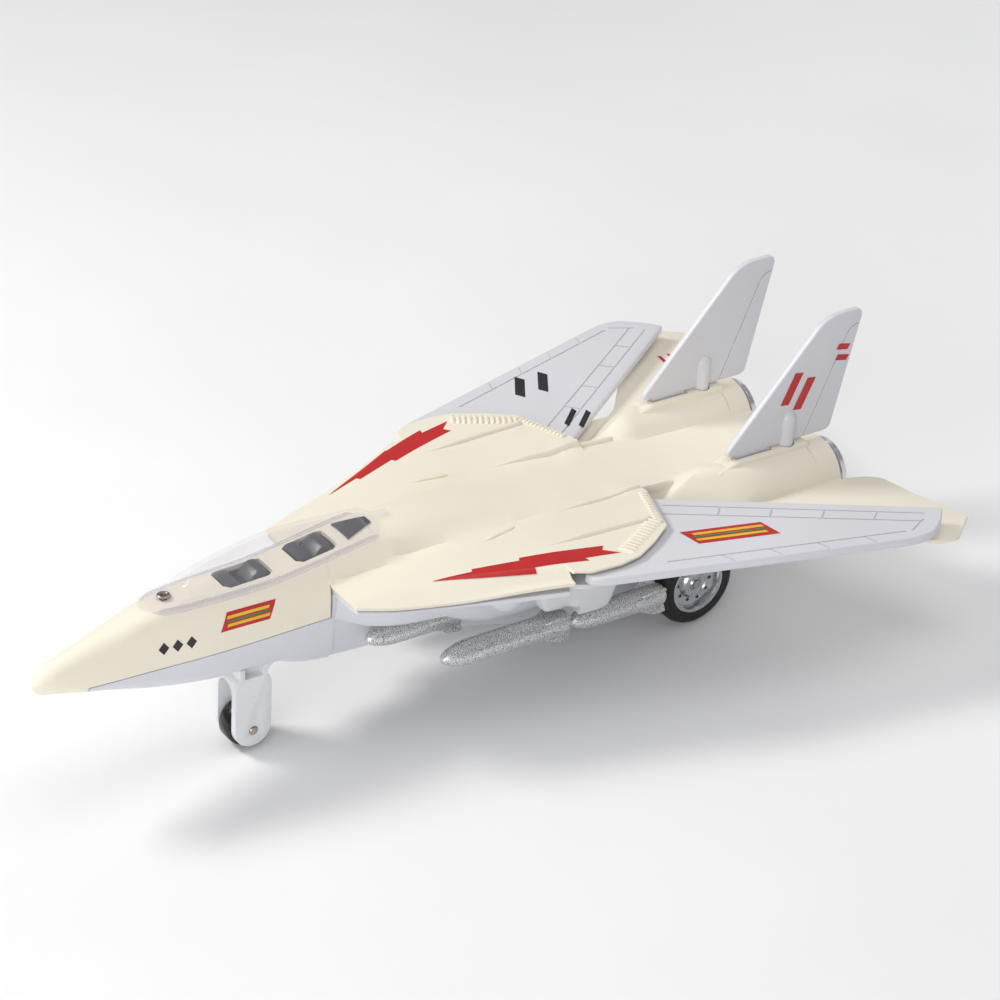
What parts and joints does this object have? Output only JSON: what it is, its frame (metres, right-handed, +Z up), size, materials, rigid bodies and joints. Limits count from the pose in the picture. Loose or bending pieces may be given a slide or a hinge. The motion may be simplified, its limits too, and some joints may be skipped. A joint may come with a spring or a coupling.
{
  "type": "toy airplane",
  "caption": "Die-cast style toy swing-wing jet with sweeping wings, twin fins, underwing missiles, a free nose wheel and a pull-back spring motor.",
  "frame": {"origin": "on the ground under the middle of the outline, where the toy stands on its three wheels", "axes": "+X to the nose, +Y to port, +Z up"},
  "size_m": [0.2266, 0.1304, 0.0731],
  "materials": {
    "cream_paint": "satin ivory spray paint with fine dark specks",
    "wing_plastic": "satin pale lilac-grey moulded plastic",
    "belly_plastic": "smooth pale bluish grey moulded plastic",
    "fork_plastic": "smooth near-white moulded plastic",
    "clear_canopy": "clear polished plastic with a slight lilac tint",
    "cockpit_grey": "dark grey satin plastic",
    "rivet_steel": "darkened steel",
    "pin_brass": "dull brass",
    "shaft_steel": "drawn steel",
    "screw_steel": "zinc plated steel",
    "gear_nylon": "natural nylon",
    "case_plastic": "dark grey moulded plastic",
    "chrome_plate": "bright chrome plating",
    "wheel_chrome": "bright chrome plating",
    "tyre_rubber": "matt black rubber",
    "nose_wheel_black": "gloss black plastic",
    "missile_silver": "coarse sparkling silver finish"
  },
  "bodies": {
    "airframe": {"upper_body": "cream_paint", "lower_body": "belly_plastic", "canopy": "clear_canopy", "canopy_rivet": "rivet_steel", "cockpit_tub": "cockpit_grey", "nose_gear_fork": "fork_plastic", "nose_wheel_pin": "pin_brass", "port_pivot_screw": "screw_steel", "starboard_pivot_screw": "screw_steel", "front_body_screw": "screw_steel", "tail_body_screw": "screw_steel", "left_fin": "wing_plastic", "left_nozzle": "chrome_plate", "left_missile_rack": "fork_plastic", "left_motor_case": "case_plastic", "left_nose_missile": "missile_silver", "left_front_missile": "missile_silver", "left_rear_missile": "missile_silver", "right_fin": "wing_plastic", "right_nozzle": "chrome_plate", "right_missile_rack": "fork_plastic", "right_motor_case": "case_plastic", "right_nose_missile": "missile_silver", "right_front_missile": "missile_silver", "right_rear_missile": "missile_silver"},
    "rear_wheelset": {"rear_axle": "shaft_steel", "axle_pinion": "gear_nylon", "left_tyre": "tyre_rubber", "left_rim": "wheel_chrome", "right_tyre": "tyre_rubber", "right_rim": "wheel_chrome"},
    "left_wing_arm": {"left_wing": "wing_plastic"},
    "right_wing_arm": {"right_wing": "wing_plastic"},
    "idler_train": {"idler_gear": "gear_nylon"},
    "spring_train": {"spring_gear": "gear_nylon", "mainspring": "shaft_steel"},
    "nose_roller": {"nose_wheel": "nose_wheel_black"}
  },
  "joints": [
    {"name": "left_wing_sweep", "type": "hinge", "parent": "airframe", "child": "left_wing_arm", "pos_m": [-0.02435, 0.03, 0.04042], "axis": [0.0666, 0.0297, -0.9973], "range_deg": [0, 48]},
    {"name": "right_wing_sweep", "type": "hinge", "parent": "airframe", "child": "right_wing_arm", "pos_m": [-0.02435, -0.03, 0.04042], "axis": [-0.0666, 0.0297, 0.9973], "range_deg": [0, 48]},
    {"name": "rear_axle_spin", "type": "hinge", "parent": "airframe", "child": "rear_wheelset", "pos_m": [-0.05818, 0, 0.0112], "axis": [0, 1, 0], "continuous": true},
    {"name": "idler_spin", "type": "hinge", "parent": "airframe", "child": "idler_train", "pos_m": [-0.05293, 0, 0.02188], "axis": [0, 1, 0], "continuous": true},
    {"name": "spring_spin", "type": "hinge", "parent": "airframe", "child": "spring_train", "pos_m": [-0.03971, 0, 0.02045], "axis": [0, 1, 0], "continuous": true},
    {"name": "nose_wheel_spin", "type": "hinge", "parent": "airframe", "child": "nose_roller", "pos_m": [0.06066, 0, 0.0056], "axis": [0, 1, 0], "continuous": true}
  ],
  "couplings": [
    {"joint": "right_wing_sweep", "follows": "left_wing_sweep", "ratio": 1},
    {"joint": "idler_spin", "follows": "rear_axle_spin", "ratio": -0.41667},
    {"joint": "spring_spin", "follows": "rear_axle_spin", "ratio": 0.14881}
  ]
}
